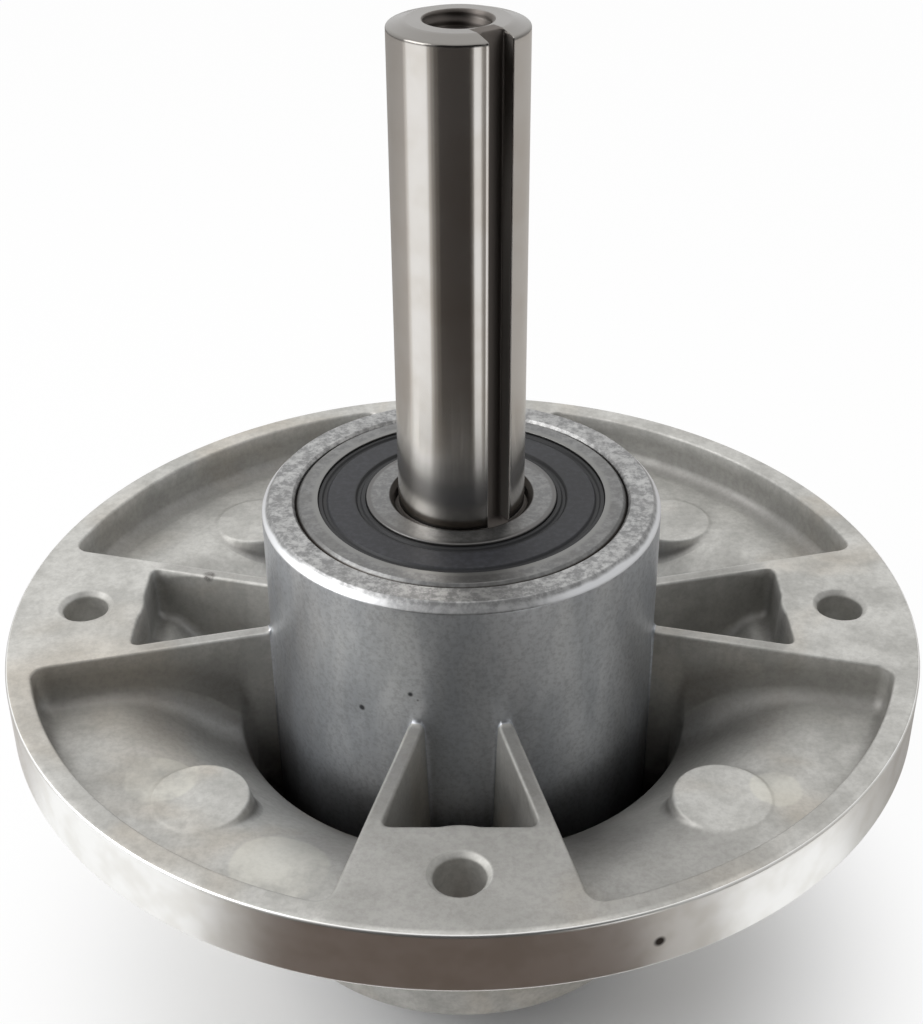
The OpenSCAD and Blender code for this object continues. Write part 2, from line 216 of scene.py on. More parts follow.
def half_columns(r, depth):
    """Angles of the grid lines from the middle of a bolt pad (0) to the middle of a pocket (45
    degrees) at distance r. They crowd at the rib walls and stay a fixed distance from them."""
    deep = np.maximum(depth, 9.2)
    foot_s, foot_p = wall_foot(deep, 2.0), wall_foot(deep, 3.0)
    half_s, half_p = r * np.sin(PAD_HALF) - RIB_T, r * np.sin(np.pi / 4 - PAD_HALF)
    last_s, last_p = foot_s + 2.0, foot_p + 3.0
    inside_slot = [half_s - (half_s - last_s) * k / SLOT_MID for k in range(SLOT_MID)]
    inside_slot += [foot_s + 2.0 * f for f in FEET[::-1]] + [foot_s * f for f in (1.0, 0.5, 0.0)]
    inside_slot += [-EDGE * e for e in EDGE_STEPS]
    cols = [PAD_HALF - np.arcsin((RIB_T + a) / r) for a in inside_slot]
    inside_pocket = [-EDGE * e for e in EDGE_STEPS[::-1]] + [foot_p * f for f in (0.0, 0.5, 1.0)]
    inside_pocket += [foot_p + 3.0 * f for f in FEET]
    inside_pocket += [last_p + (half_p - last_p) * k / POCKET_MID for k in range(1, POCKET_MID + 1)]
    cols += [PAD_HALF + np.arcsin(a / r) for a in inside_pocket]
    return np.stack(cols, -1)


def all_columns(half):
    """The half set of angles mirrored and repeated at the four bolt pads, as (angle from the pad,
    angle round the axis)."""
    pad = np.concatenate([-half[..., :0:-1], half[..., :-1]], -1)
    turn = np.concatenate([pad + k * np.pi / 2 for k in range(4)], -1)
    return np.concatenate([pad] * 4, -1), turn


def flange_top(rows):
    """Points of the flange's upper side on the grid of the given radii and the crowded angles."""
    r0 = np.asarray(rows, float)
    pad, turn = all_columns(half_columns(r0, depth_along(POCKET_LINE, np.clip(r0, 38, 82))))
    reach = slot_end_r(pad) - SLOT_END
    base = r0[:, None]
    r = base + reach * (1 - smooth(np.abs(base - SLOT_END) / 7.0 - 0.15))
    deep_p, deep_s = depth_along(POCKET_LINE, r), depth_along(SLOT_LINE, r)
    a_p, b_p, a_s, b_s = wall_distances(r, pad)
    round_p = 3.0 + 0.5 * np.clip(deep_p - 9.2, 0, 9)
    round_s = 2.0 + 0.3 * np.clip(deep_s - 11.0, 0, 8)
    drop = wall_drop(np.minimum(a_p, b_p), deep_p, round_p) + wall_drop(np.minimum(a_s, b_s), deep_s, round_s)
    on_rib = smooth((-np.maximum(a_p, a_s) - 0.15) / 0.7)
    up = np.clip(r - HUB_R, 0, 1.5)
    swell = (1.5 - np.sqrt(np.maximum(1.5 ** 2 - (1.5 - up) ** 2, 0))) * on_rib
    z = swell - drop
    side = np.sign(pad)
    move_a, move_b = round_corner(a_p, b_p, 3.0)
    shift_turn = move_a * side
    shift_r = -move_b
    move_a, move_b = round_corner(a_s, b_s, 2.0)
    shift_turn = shift_turn - move_a * side
    shift_r = shift_r - move_b
    x = (r + shift_r) * np.cos(turn) - shift_turn * np.sin(turn)
    y = (r + shift_r) * np.sin(turn) + shift_turn * np.cos(turn)
    return np.stack([x, y, z], -1)


def ring_rows(path, columns_at=None):
    """Points of the turned parts of the housing on the same angles as the flange."""
    r = path[:, 0]
    guide = r if columns_at is None else np.full_like(r, columns_at)
    turn = all_columns(half_columns(guide, np.full_like(guide, 9.2)))[1]
    return np.stack([r[:, None] * np.cos(turn), r[:, None] * np.sin(turn), path[:, 1][:, None] + 0 * turn], -1)


def border(i0, i1, c0, c1, cols):
    """Numbers of the grid points around a block of the grid, in order."""
    step = 1 if i1 > i0 else -1
    i_up, c_up = np.arange(i0, i1, step), np.arange(c0, c1)
    ring = [(np.full_like(c_up, i0), c_up), (i_up, np.full_like(i_up, c1)),
            (np.full_like(c_up, i1), c_up[::-1] + 1), (i_up[::-1] + step, np.full_like(i_up, c0))]
    i = np.concatenate([a for a, _ in ring])
    c = np.concatenate([b for _, b in ring])
    return i * cols + c % cols


def shade_and_dirt_at(points):
    """How much painted shade, with some soiling, lies at each point of the flange's upper side: most along
    the foot of a wall, some on the wall itself, more the deeper the pocket is, a layer where the floor falls
    towards the hub beside a rib, and a thin darker layer on the front pad and the pocket to its right."""
    x, y = points[:, 0], points[:, 1]
    r = np.hypot(x, y)
    pad = (np.arctan2(y, x) + np.pi / 4) % (np.pi / 2) - np.pi / 4
    a_p, b_p, a_s, b_s = wall_distances(r, pad)
    in_pocket, in_slot = np.minimum(a_p, b_p), np.minimum(a_s, b_s)
    inside = np.maximum(in_pocket, in_slot)
    deep = -points[:, 2]
    near_hub = smooth((58 - r) / 10)
    # Painted shade along the foot of each wall, on the walls, deep in the gap by the hub, on the slope that falls to
    # it, and on the floor beside the rib walls near the hub.
    foot = 0.42 * np.exp(-((inside - 1.6) / 1.5) ** 2) * smooth((deep - 3) / 5)
    wall_share = np.where(in_pocket > in_slot, 0.24 + 0.2 * near_hub, 0.14)
    wall = wall_share * smooth((deep - 0.5) / 2) * smooth((1.2 - inside) / 0.8) * (inside > -0.7)
    deep_gap = smooth((deep - 24) / 16)
    slope = 0.3 * smooth((deep - 16) / 8)
    # Darker rib tops near the hub, and a darker layer on the front pad and the pocket to its right.
    rib_top = 0.25 * smooth((-inside - 0.3) / 0.5) * smooth((64 - r) / 4)
    corner = 0.35 * smooth((70 - r) / 10) * smooth((22 - a_p) / 14) * smooth((in_pocket - 1) / 3)
    film = 0.25 * smooth((x + 25) / 10) * smooth((-y - 35) / 15) * (1 - 0.6 * smooth((x - 40) / 15))
    film = np.maximum(film, 0.07 * smooth((-y - 20) / 20))
    shade_dirt_share = 1 - (1 - np.maximum.reduce([foot, wall, deep_gap, slope, rib_top])) * (1 - corner) * (1 - film)
    return np.clip(shade_dirt_share, 0, 1) * (r > HUB_R + 0.2)


def housing_surface():
    """The casting as one closed surface: a loop of rows through the bore, over the hub, across the
    flange, round the rim and back below, times the angles round the axis. Blocks of that grid are
    taken out for the bolt holes and the round marks, and lofted rings join their borders."""
    bore = rounded_path([
        (36, -69, 0), (31.6, -69, 0.1), (31, -68.4, 0.1), (31, -52, 0), (27, -52, 0), (27, -49, 0), (29, -47, 0),
        (29, 3.5, 0), (27, 5.5, 0), (27, 8.5, 0), (31, 8.5, 0), (31, 24.9, 0.15), (31.5, 25.5, 0.15), (35.6, 25.5, 0.35),
        (HUB_R, 23.9, 0.5), (HUB_R, 20, 0)], 3)[1:]
    hub_z = np.array([15, 10, 6.5, 4.4, 3.2, 2.4, 2.0])
    slope = list(np.arange(47.2, 59.6, 1.13))
    end_b = [2.6, 2.1, 1.6, 1.0, 0.6, 0.36, 0.22, 0.1, 0, -0.2, -0.4, -0.62, -0.9]
    rim_b = [3.2, 3.0, 2.4, 1.8, 1.2, 0.7, 0.4, 0.24, 0.1, 0, -0.2, -0.4, -0.62, -0.9, -2.0, -3.1]
    flange_r = ([37.1, 37.16, 37.24, 37.34, 37.44, 37.5, 37.62, 37.8, 38.05, 38.4, 38.9, 39.6, 40.2, 40.7, 41.1, 41.4,
                 41.7, 42.3, 42.9, 43.5, 43.9, 44.2, 44.5, 44.9, 45.4, 46.2] + slope + [SLOT_END - b for b in end_b]
                + [64.2, 65.5, 67.0, 68.2, 69.4, 70.6, 71.8, 73.0, 74.2, 75.4, 76.6, 77.8] + [RIM_IN_R - b for b in rim_b])
    edge = rounded_path([(85.4, 0, 0), (FLANGE_R, 0, 0.6), (FLANGE_R, -4, 0)], 4)[1:-1]
    under = UNDER_LINE
    block = np.linspace(83.0, 63.0, 14)
    outside, inside = under[under[:, 0] > 83.05], under[under[:, 0] < 62.4]
    below = np.concatenate([outside, np.stack([block, -depth_along(under[::-1], block)], -1), inside])
    hub_rows = np.stack([np.full_like(hub_z, HUB_R), hub_z], -1)
    top = flange_top(flange_r)
    parts = [ring_rows(bore[:-1], 37.1), ring_rows(hub_rows, 37.1), top, ring_rows(edge), ring_rows(below)]
    lift = top[0, :, 2]
    parts[1][..., 2] += lift * (1 - hub_z[:, None] / 24)
    grid = np.concatenate(parts)
    rows, cols = grid.shape[:2]
    start_top = len(parts[0]) + len(parts[1])
    start_below = rows - len(below)
    quads = grid_quads(rows, cols, close_rows=True)
    cell_i, cell_c = np.divmod(np.arange(rows * cols), cols)
    keep = np.ones(rows * cols, bool)
    points = grid.reshape(-1, 3)
    shade_and_dirt = np.zeros((rows, cols))
    shade_and_dirt[start_top:start_top + len(flange_r)] = shade_and_dirt_at(top.reshape(-1, 3)).reshape(top.shape[:2])
    extra, extra_quads, extra_shade_and_dirt = [], [], [shade_and_dirt.reshape(-1)]
    count = len(points)
    half = cols // 8

    def row_at(r):
        return start_top + int(np.argmin(np.abs(np.array(flange_r) - r)))

    def take_out(i0, i1, c0, c1):
        lo, hi = min(i0, i1), max(i0, i1)
        across = (cell_c - c0) % cols < c1 - c0
        keep[(cell_i >= lo) & (cell_i < hi) & across] = False

    def loft(first, rings, last=None):
        """Faces from the border first, over the rings, to the border last or to a middle point."""
        nonlocal count
        n = len(first)
        numbers = [first] + [count + k * n + np.arange(n) for k in range(len(rings))]
        extra.extend(rings)
        count += n * len(rings)
        if last is not None:
            numbers.append(last)
        for a, b in zip(numbers[:-1], numbers[1:]):
            extra_quads.append(np.stack([a, np.roll(a, -1), np.roll(b, -1), b], -1))
        return numbers[-1]

    for k in range(4):
        # Round mark: from the block's border to a circle, up a short wall and over a level top
        middle = (k + 1) * 2 * half
        i0, i1, c0, c1 = row_at(51.7), row_at(75.4), middle - 9, middle + 9
        take_out(i0, i1, c0, c1)
        first = border(i0, i1, c0, c1, cols)
        around = points[first][:, :2]
        angle = np.pi / 4 + k * np.pi / 2
        centre = MARK_PLACE_R * np.array([np.cos(angle), np.sin(angle)])
        away = (around - centre) / np.linalg.norm(around - centre, axis=1)[:, None]
        rings = []
        for share in (0.2, 0.4, 0.6, 0.8):
            rings.append(around + (centre + away * (MARK_R + 2.0) - around) * share)
        beyond = [2.0, 1.7, 1.35, 1.05, 0.8, 0.6, 0.42, 0.26, 0.12, 0, -0.14, -0.32, -0.54, -0.9, -2.0, -3.4, -5.0, -6.8, -8.1]
        rises = [0, 0.015, 0.05, 0.1, 0.18, 0.3, 0.46, 0.64, 0.8, 0.89, 0.955, 0.99, 1, 1, 1, 1, 1, 1, 1]
        rings += [centre + away * (MARK_R + q) for q in beyond]
        rises = [0, 0, 0, 0] + rises
        solid = []
        for ring, rise in zip(rings, rises):
            floor = -depth_along(POCKET_LINE, np.hypot(ring[:, 0], ring[:, 1]))
            level = np.maximum(MARK_Z, floor)
            solid.append(np.column_stack([ring, floor + (level - floor) * rise]))
            # Painted shade round each mark and at the foot of its wall.
            around_mark = shade_and_dirt_at(solid[-1]) * (1 - 0.9 * rise)
            in_foot = 0.55 * smooth((level - floor) / 3) * np.exp(-((rise - 0.2) / 0.22) ** 2) * (rise > 0)
            extra_shade_and_dirt.append(np.maximum(around_mark, in_foot))
        ring_numbers = loft(first, solid)
        tip = count
        count += 1
        extra.append(np.array([[*centre, MARK_Z]]))
        extra_shade_and_dirt.append(np.zeros(1))
        a, b = ring_numbers, np.roll(ring_numbers, -1)
        extra_quads.append(np.stack([a[::2], b[::2], b[1::2], np.full(len(a) // 2, tip)], -1))

        # Bolt hole: from the block's border to the chamfer, down the hole, and out over its seat
        middle = k * 2 * half + half
        i0, i1 = row_at(67.0), row_at(80.3)
        wide = SLOT_MID - 1
        c0, c1 = middle - wide, middle + wide
        take_out(i0, i1, c0, c1)
        first = border(i0, i1, c0, c1, cols)
        top_row = start_below + len(outside)
        j_far, j_near = top_row, top_row + 13
        take_out(j_near, j_far, c0, c1)
        last = border(j_near, j_far, c0, c1, cols)
        angle = k * np.pi / 2
        centre = BOLT_R * np.array([np.cos(angle), np.sin(angle)])
        above, under_edge = points[first][:, :2], points[last][:, :2]
        away = (above - centre) / np.linalg.norm(above - centre, axis=1)[:, None]
        away_under = (under_edge - centre) / np.linalg.norm(under_edge - centre, axis=1)[:, None]
        solid = []
        for share in (0.3, 0.6, 0.85):
            ring = above + (centre + away * 5.7 - above) * share
            solid.append(np.column_stack([ring, np.zeros(len(ring))]))
        for q, z in ((5.7, 0), (5.4, 0), (5.25, -0.04), (5.1, -0.16), (4.6, -0.66), (4.42, -0.86), (4.33, -1.05),
                     (4.3, -1.4), (4.3, -4), (4.3, -8), (4.3, -13.2), (4.36, -13.6), (4.6, -13.9)):
            solid.append(np.column_stack([centre + away * q, np.full(len(away), z)]))
        for q, z in ((5.4, -13.9), (7.0, -13.9), (8.7, -13.9), (8.92, -13.9)):
            mix = away + (away_under - away) * min(1, (q - 4.6) / 3)
            mix /= np.linalg.norm(mix, axis=1)[:, None]
            solid.append(np.column_stack([centre + mix * q, np.full(len(mix), z)]))
        for q, share in ((9.0, 0.1), (9.0, 0.9), (9.08, 1), (9.4, 1)):
            ring = centre + away_under * q
            skin = -depth_along(under[::-1], np.hypot(ring[:, 0], ring[:, 1]))
            solid.append(np.column_stack([ring, -13.9 + (skin + 13.9) * share]))
        for share in (0.7, 0.4):
            ring = under_edge + (centre + away_under * 9.4 - under_edge) * share
            skin = -depth_along(under[::-1], np.hypot(ring[:, 0], ring[:, 1]))
            solid.append(np.column_stack([ring, skin]))
        for ring in solid:
            # Painted shade, darker the deeper it lies in the bolt hole.
            in_hole = 0.12 * smooth(-ring[:, 2] / 6) * (ring[:, 2] > -13.8)
            extra_shade_and_dirt.append(np.where(ring[:, 2] > -0.1, shade_and_dirt_at(ring), in_hole))
        loft(first, solid, last)

    points = np.concatenate([points] + extra)
    points[:, 2] += FACE_Z
    return points, np.concatenate([quads[keep]] + extra_quads), np.concatenate(extra_shade_and_dirt)


# Shaft

KEY_TURN = np.radians(-53.5)
KEY_HALF = 2.4
KEY_FLOOR = 8.7
SHAFT_R = 11.7
BEVEL_IN_R = 8.6
BEVEL_H = 0.9


def keyed_section(radius, keyed):
    """Outline of the shaft, the same count of points at every height: a circle, and where it is
    keyed the keyway cut into it, with small rounds at its edges."""
    n_arc = 150
    edge = np.arcsin(KEY_HALF / radius)
    arc = np.linspace(edge + 0.02, 2 * np.pi - edge - 0.02, n_arc)
    circle = np.stack([radius * np.cos(arc), radius * np.sin(arc)], -1)
    x_top = radius * np.cos(edge)
    down = np.array([-0.01, 0.02, 0.07, 0.14, 0.86, 0.96, 0.99, 1.0, 1.0])
    in_from_wall = np.array([-0.12, -0.03, 0, 0, 0, 0, 0.05, 0.16, 0.5])
    half = np.stack([x_top + (KEY_FLOOR - x_top) * down, KEY_HALF - in_from_wall], -1)
    mid = np.stack([np.full(5, KEY_FLOOR), np.linspace(1.4, -1.4, 5)], -1)
    key = np.concatenate([half * [1, -1], mid[::-1], half[::-1]])
    plain_turn = np.linspace(-edge - 0.012, edge + 0.012, len(key))
    plain = radius * np.stack([np.cos(plain_turn), np.sin(plain_turn)], -1)
    return np.concatenate([circle, key if keyed else plain])


def shaft_surface():
    """The shaft as one closed surface: rows from the bottom of the lower tapped hole, round the
    collar, up the outside with its keyway, and down to the bottom of the upper tapped hole. The
    wall of a tapped hole is a ridge and groove that climb one pitch for each turn."""
    outline = keyed_section(SHAFT_R, False)
    turn = np.arctan2(outline[:, 1], outline[:, 0])
    cols = len(turn)
    unit = np.stack([np.cos(turn), np.sin(turn)], -1)
    share = (turn / (2 * np.pi)) % 1.0

    def level(flat, z):
        return np.concatenate([flat, np.full((cols, 1), z)], -1)[None]

    def hole(r_in, r_out, pitch, length, z_mouth, down, mouth_r, bottom):
        """Rows of one tapped hole from its mouth inwards, the thread fading out at its end."""
        h = np.arange(0, length, pitch / 7)
        wave = np.abs(((h[:, None] / pitch + share[None, :]) % 1.0) * 2 - 1)
        groove = np.clip(wave * 1.25 - 0.18, 0, 1)
        strength = smooth((length - h) / 3.0)[:, None]
        r_wall = r_in + (r_out - r_in) * groove * strength
        r = np.maximum(r_wall, np.maximum(mouth_r - h[:, None], r_in))
        z = np.broadcast_to((z_mouth - down * h)[:, None, None], r.shape + (1,))
        rows = [np.dstack([r[..., None] * unit, z])]
        for q, depth in ((r_in, bottom), (0.05, bottom + r_in * 0.6)):
            rows.append(level(q * unit, z_mouth - down * depth))
        return np.concatenate(rows)

    low = hole(6.8, 7.94, 2.31, 16, 0.0, -1, 8.1, 36)[::-1]
    high = hole(5.4, 5.98, 1.75, 14, SHAFT_TOP_Z, 1, 6.0, 32)
    side = rounded_path([
        (8.1, 0, 0), (21, 0, 0.2), (22, 1, 0.2), (22, 7, 0.2), (21, 8, 0.2), (17.3, 8, 1), (17.3, 14, 0.5), (12.49, 14, 0),
        (12.49, 105.9, 0.1), (SHAFT_R, 106.7, 0.1), (SHAFT_R, 107.2, 0)], 3)[1:]
    rows = [low] + [level(q * unit, z) for q, z in side]
    bevel = rounded_path([
        (SHAFT_R, 107.3, 0), (SHAFT_R, SHAFT_TOP_Z - BEVEL_H, 0.5), (9.25, SHAFT_TOP_Z - BEVEL_H * 0.21, 0)], 4)
    for r, z in bevel:
        rows.append(level(keyed_section(r, True), z))
    for r in (BEVEL_IN_R, 8.45, 7.3, 6.2, 6.05):
        rows.append(level(r * unit, SHAFT_TOP_Z))
    rows.append(high)
    grid = np.concatenate(rows)
    c, s = np.cos(KEY_TURN), np.sin(KEY_TURN)
    grid = grid @ np.array([[c, s, 0], [-s, c, 0], [0, 0, 1]])
    n = grid.shape[0]
    caps = [list(range(cols)), list(range((n - 1) * cols, n * cols))]
    return grid.reshape(-1, 3), grid_quads(n, cols), caps


# Bearings

def closed_turned(corners, cols=192, steps=3):
    """Turned surface of a closed outline of corners (r, z, radius)."""
    ring = list(corners) + [corners[0], corners[1]]
    path = rounded_path(ring, steps)[1:-1]
    keep = np.ones(len(path), bool)
    keep[1:] = np.linalg.norm(np.diff(path, axis=0), axis=1) > 1e-4
    path = path[keep]
    if np.linalg.norm(path[0] - path[-1]) < 1e-3:
        path = path[:-1]
    return turned_points(path, cols), grid_quads(len(path), cols, close_rows=True)


def placed(points, z, over=False):
    """Points about a bearing's centre, moved to its height, turned over if asked."""
    flip = -1 if over else 1
    return points * [1, flip, flip] + [0, 0, z]


def outer_ring():
    """Outer ring: ground faces with chamfered corners, a ledge for the seal and a ball track."""
    h, r, lip = 8.5, 30.99, 26.7
    track = [(21.9 + 5.98 * np.cos(t) - 0.2, 5.98 * np.sin(t), 0) for t in np.radians([-44, -30, -15, 0, 15, 30, 44])]
    return closed_turned([
        (lip, -h, 0.12), (r - 1, -h, 0.25), (r, 1 - h, 0.25), (r, h - 1, 0.25), (r - 1, h, 0.25), (lip, h, 0.12),
        (lip, h - 0.75, 0), (27.3, h - 0.75, 0), (27.3, h - 1.6, 0), (26, h - 1.8, 0)] + track[::-1] + [
        (26, 1.8 - h, 0), (27.3, 1.6 - h, 0), (27.3, 0.75 - h, 0), (lip, 0.75 - h, 0)])


def inner_ring():
    """Inner ring: ground faces, chamfered bore and a ball track."""
    h, r = 8.5, 17.75
    track = [(21.9 - 5.98 * np.cos(t) + 0.2, 5.98 * np.sin(t), 0) for t in np.radians([-42, -28, -14, 0, 14, 28, 42])]
    return closed_turned([
        (13.35, -h, 0.15), (r, -h, 0.3)] + track + [(r, h, 0.3), (13.35, h, 0.15), (12.5, h - 0.85, 0.2), (12.5, 0.85 - h, 0.2)])


def seal():
    """Moulded rubber seal: a flat face between a wiping lip inside and a groove and bead outside."""
    h, lip_in, lip_out, bead = 8.5, 17.83, 26.62, 27.24
    return closed_turned([
        (lip_in, h - 1.2, 0), (lip_in, h - 0.5, 0.1), (18.55, h - 0.42, 0.15), (18.85, h - 0.85, 0.12), (19.35, h - 0.85, 0.15),
        (19.75, h - 0.34, 0.2), (24.7, h - 0.34, 0.25), (25.1, h - 0.8, 0.15), (25.65, h - 0.8, 0.15), (25.95, h - 0.4, 0.15),
        (lip_out, h - 0.42, 0.12), (lip_out, h - 0.81, 0), (bead, h - 0.81, 0), (bead, h - 1.5, 0),
        (25.9, h - 1.5, 0), (25.9, h - 1.05, 0), (19.2, h - 1.05, 0), (19.2, h - 1.5, 0), (lip_in + 0.6, h - 1.5, 0)])


# Materials

def linear(hex_colour):
    """Linear colour from an sRGB hex value."""
    value = [int(hex_colour[k:k + 2], 16) / 255 for k in (1, 3, 5)]
    return [v / 12.92 if v <= 0.04045 else ((v + 0.055) / 1.055) ** 2.4 for v in value] + [1.0]


def add(tree, kind, links=None, **settings):
    """Adds a node. links gives its inputs, each a value or another node's output."""
    made = tree.nodes.new(kind)
    for name, value in settings.items():
        setattr(made, name, value)
    for name, value in (links or {}).items():
        socket = made.inputs[name]
        if isinstance(value, bpy.types.NodeSocket):
            tree.links.new(value, socket)
        else:
            socket.default_value = value
    return made


def new_material(name, metallic, **constants):
    """Empty material with its shader, whose constant inputs are set on their own sockets."""
    material = bpy.data.materials.new(name)
    material.use_nodes = True
    tree = material.node_tree
    shader = tree.nodes["Principled BSDF"]
    shader.inputs["Metallic"].default_value = metallic
    for socket, value in constants.items():
        shader.inputs[socket.replace("_", " ")].default_value = value
    place = add(tree, "ShaderNodeTexCoord").outputs["Object"]
    return material, tree, shader, place


def per_mm(size):
    """Texture scale at which a pattern repeats about every size millimetres."""
    return 1000.0 / size


def blend(tree, share, first, second, mode="MIX"):
    """Colour between two colours or outputs, by a share."""
    made = add(tree, "ShaderNodeMix", {0: share, 6: first, 7: second}, data_type="RGBA", blend_type=mode)
    return made.outputs[2]


def stretch(tree, value, low, high, to_low=0.0, to_high=1.0):
    """Value carried from one range to another in a smooth curve and held at the ends."""
    made = add(tree, "ShaderNodeMapRange", {0: value, 1: low, 2: high, 3: to_low, 4: to_high},
               interpolation_type="SMOOTHSTEP")
    return made.outputs[0]


def masked(tree, *masks):
    """Product of masks between 0 and 1."""
    share = masks[0]
    for mask in masks[1:]:
        share = add(tree, "ShaderNodeMath", {0: share, 1: mask}, operation="MULTIPLY").outputs[0]
    return share


def distance_from_axis(tree, place):
    """Distance of the shaded point from the shaft's axis."""
    flat = add(tree, "ShaderNodeVectorMath", {0: place, 1: (1.0, 1.0, 0.0)}, operation="MULTIPLY").outputs[0]
    return add(tree, "ShaderNodeVectorMath", {0: flat}, operation="LENGTH").outputs["Value"]


def noise(tree, place, size, detail=3.0, roughness=0.6, distortion=0.0):
    """Cloudy pattern whose lumps are about size millimetres wide."""
    made = add(tree, "ShaderNodeTexNoise", {
        "Vector": place, "Scale": per_mm(size), "Detail": detail, "Roughness": roughness, "Distortion": distortion})
    return made.outputs[0]


def spot(tree, place, centre, radius, soft):
    """Mask of a round spot: a centre in millimetres, a radius and the width of its soft edge."""
    centre = tuple(c * MM for c in centre)
    away = add(tree, "ShaderNodeVectorMath", {0: place, 1: centre}, operation="DISTANCE").outputs["Value"]
    return stretch(tree, away, radius * MM, (radius - soft) * MM)


def uneven(tree, shader, *layers):
    """Bumps, each a (pattern, height in millimetres, strength), one upon the other."""
    normal = None
    for pattern, height, strength in layers:
        links = {"Strength": strength, "Distance": height * MM, "Height": pattern}
        if normal is not None:
            links["Normal"] = normal
        normal = add(tree, "ShaderNodeBump", links).outputs[0]
    tree.links.new(normal, shader.inputs["Normal"])


def cast_aluminium():
    """Die-cast aluminium alloy, tumbled and stored for some time: a dull, light grey skin with a fine grain,
    soft flow patches, beige stains, painted light in pale patches by the round marks, and painted shade with some
    soiling in the deep corners."""
    material, tree, shader, place = new_material("die_cast_aluminium", 1.0)
    patches = noise(tree, place, 9, 4.0, 0.62)
    grain = noise(tree, place, 1.1, 3.0, 0.7)
    stains = noise(tree, place, 34, 3.0, 0.5, 0.6)
    shade_and_dirt = add(tree, "ShaderNodeAttribute", attribute_name="shade_and_dirt").outputs["Fac"]
    colour = blend(tree, stretch(tree, patches, 0.36, 0.66), linear("#c0bfbb"), linear("#d2d1cd"))
    colour = blend(tree, stretch(tree, stains, 0.5, 0.7, 0.0, 0.4), colour, linear("#cdc3b4"))
    colour = blend(tree, stretch(tree, grain, 0.35, 0.7, 0.0, 0.22), colour, linear("#8d8b87"))
    # Painted light: pale patches on the pocket floors beside the round marks, where floor and mark edges catch the
    # light.
    for centre, radius in (((-30, -62, 73.8), 8.8), ((55, -43, 73.8), 5), ((-53, -40, 73.8), 7)):
        pale = masked(tree, spot(tree, place, centre, radius, 0.8), stretch(tree, patches, 0.3, 0.6, 0.1, 0.5))
        colour = blend(tree, pale, colour, linear("#e2e0d6"))
    # Painted shade with some soiling, from the mesh attribute: dark in corners, at the feet of walls and deep down.
    shade_dirt_share = masked(tree, shade_and_dirt, stretch(tree, patches, 0.3, 0.7, 0.75, 1.25))
    colour = blend(tree, shade_dirt_share, colour, linear("#39322e"))
    nick = masked(tree, spot(tree, place, (-50.6, 10.5, 83), 1.6, 1.2), stretch(tree, grain, 0.4, 0.6, 0.5, 1.0))
    colour = blend(tree, nick, colour, linear("#4c4743"))
    tree.links.new(colour, shader.inputs["Base Color"])
    tree.links.new(stretch(tree, patches, 0.3, 0.7, 0.68, 0.58), shader.inputs["Roughness"])
    uneven(tree, shader, (patches, 0.12, 0.6), (grain, 0.04, 0.5))
    return material


def blasted_aluminium():
    """The same casting on the outside of its hub: turned, then blasted, so it is smoother and a
    touch bluer, with faint streaks down the side where it was handled."""
    material, tree, shader, place = new_material("blasted_hub_aluminium", 1.0)
    drawn = add(tree, "ShaderNodeMapping", {"Vector": place, "Scale": (1.0, 1.0, 0.3)}).outputs[0]
    streaks = noise(tree, drawn, 8, 4.0, 0.6)
    grain = noise(tree, place, 0.9, 3.0, 0.7)
    colour = blend(tree, stretch(tree, streaks, 0.36, 0.66), linear("#cdd1d7"), linear("#e4e7ec"))
    colour = blend(tree, stretch(tree, grain, 0.4, 0.7, 0.0, 0.3), colour, linear("#85888d"))
    for centre, radius in (((-8.8, -36.1, 89.3), 0.7), ((-17.6, -32.7, 83.8), 0.8), ((-7.5, -36.3, 88.2), 0.4)):
        colour = blend(tree, spot(tree, place, centre, radius, 0.5), colour, linear("#55565a"))
    # Painted shade with some soiling, from the mesh attribute, deep down the hub's side in the gap by the flange.
    shade_and_dirt = add(tree, "ShaderNodeAttribute", attribute_name="shade_and_dirt").outputs["Fac"]
    colour = blend(tree, shade_and_dirt, colour, linear("#39322e"))
    tree.links.new(colour, shader.inputs["Base Color"])
    tree.links.new(stretch(tree, streaks, 0.3, 0.7, 0.48, 0.38), shader.inputs["Roughness"])
    uneven(tree, shader, (streaks, 0.08, 0.4), (grain, 0.03, 0.5))
    return material


def chamfer_aluminium_painted_highlight():
    """The turned chamfer of the hub's face: dull and speckled like the face at its upper edge, with a painted
    highlight where it meets the hub's side, dimmed grey again on one stretch at the front."""
    material, tree, shader, place = new_material("chamfer_aluminium_painted_highlight", 1.0)
    specks = noise(tree, place, 1.4, 3.0, 0.7)
    cloud = noise(tree, place, 10, 3.0, 0.6)
    at = add(tree, "ShaderNodeSeparateXYZ", {0: place}).outputs
    wavy = add(tree, "ShaderNodeMath", {0: cloud, 1: 0.0012, 2: at["Z"]}, operation="MULTIPLY_ADD").outputs[0]
    # Painted highlight: the chamfer's lower band is painted bright, less so on a stretch at the front.
    low = stretch(tree, wavy, 0.1087, 0.1081)
    beside = add(tree, "ShaderNodeMath", {0: at["X"]}, operation="ABSOLUTE").outputs[0]
    dimmed_highlight = masked(tree, stretch(tree, at["Y"], -0.025, -0.034), stretch(tree, beside, 0.022, 0.008))
    bright = masked(tree, low, stretch(tree, dimmed_highlight, 0.0, 1.0, 1.0, 0.15))
    colour = blend(tree, stretch(tree, specks, 0.36, 0.66), linear("#8b8b8b"), linear("#aeaeae"))
    colour = blend(tree, bright, colour, linear("#e6e7e9"))
    tree.links.new(colour, shader.inputs["Base Color"])
    shader.inputs["Roughness"].default_value = 0.45
    uneven(tree, shader, (specks, 0.03, 0.5))
    return material


